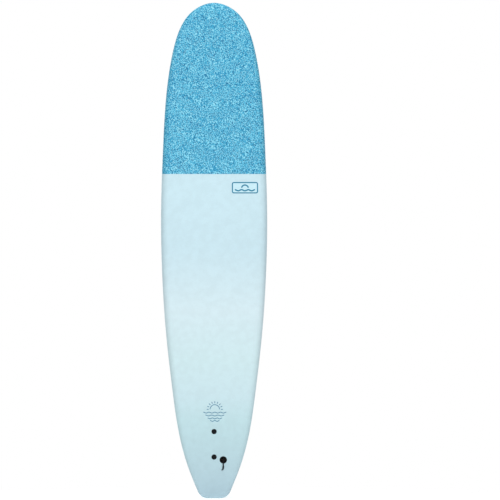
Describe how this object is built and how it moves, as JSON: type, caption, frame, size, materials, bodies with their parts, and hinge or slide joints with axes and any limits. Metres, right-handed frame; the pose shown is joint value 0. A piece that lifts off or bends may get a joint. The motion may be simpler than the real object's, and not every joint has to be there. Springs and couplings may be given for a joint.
{
  "type": "surfboard",
  "caption": "Soft-top longboard with a foam deck, a slick plastic bottom with a pale edge band, a single fin held by screws through the board, and a leash plug with a loop of cord.",
  "frame": {"origin": "centre of the flat end face of the tail block, where the mount tail_rest is", "axes": "+Z from the tail to the nose, +Y out of the bottom on the fin's side, so the deck faces -Y, and +X to the right of someone who looks at the deck with the nose up"},
  "size_m": [0.5892, 0.3175, 2.7432],
  "materials": {
    "printed_foam": "matte",
    "pale_foam": "matte",
    "white_film": "satin",
    "slick_sheet": "satin",
    "backing_foam": "matte",
    "laminate": "satin",
    "core_foam": "matte",
    "stringer_wood": "matte",
    "black_plastic": "satin",
    "fin_plastic": "satin",
    "brass": "satin",
    "stainless": "satin",
    "black_rubber": "matte",
    "black_cord": "matte"
  },
  "bodies": {
    "board": {"deck_skin_nose": "printed_foam", "deck_skin_main": "pale_foam", "edge_band": "white_film", "slick_bottom": "slick_sheet", "bottom_foam": "backing_foam", "deck_laminate": "laminate", "bottom_laminate": "laminate", "core_left": "core_foam", "core_centre": "core_foam", "core_right": "core_foam", "stringer_left": "stringer_wood", "stringer_right": "stringer_wood", "fin_sleeve_rear": "black_plastic", "fin_sleeve_front": "black_plastic", "leash_cup": "black_plastic", "leash_pin": "stainless", "leash_string": "black_cord", "leash_knot": "black_cord"},
    "fin": {"fin": "fin_plastic", "fin_insert_rear": "brass", "fin_insert_front": "brass"},
    "rear_washer": {"fin_washer_rear": "black_rubber"},
    "rear_screw": {"fin_screw_rear": "black_plastic"},
    "front_washer": {"fin_washer_front": "black_rubber"},
    "front_screw": {"fin_screw_front": "black_plastic"}
  },
  "joints": [
    {"name": "rear_screw_lift", "type": "slide", "parent": "board", "child": "rear_washer", "axis": [0, -1, 0], "range_m": [0, 0.02]},
    {"name": "rear_screw_turn", "type": "hinge", "parent": "rear_washer", "child": "rear_screw", "pos_m": [0, -0.01429, 0.228], "axis": [0, -1, 0], "range_deg": [0, 3600]},
    {"name": "front_screw_lift", "type": "slide", "parent": "board", "child": "front_washer", "axis": [0, -1, 0], "range_m": [0, 0.02]},
    {"name": "front_screw_turn", "type": "hinge", "parent": "front_washer", "child": "front_screw", "pos_m": [0, -0.01274, 0.369], "axis": [0, -1, 0], "range_deg": [0, 3600]},
    {"name": "fin_slide", "type": "slide", "parent": "board", "child": "fin", "axis": [0, 1, 0], "range_m": [0, 0.06]}
  ],
  "couplings": [
    {"joint": "rear_screw_turn", "follows": "rear_screw_lift", "rad_per_m": 3141.6},
    {"joint": "front_screw_turn", "follows": "front_screw_lift", "rad_per_m": 3141.6}
  ]
}
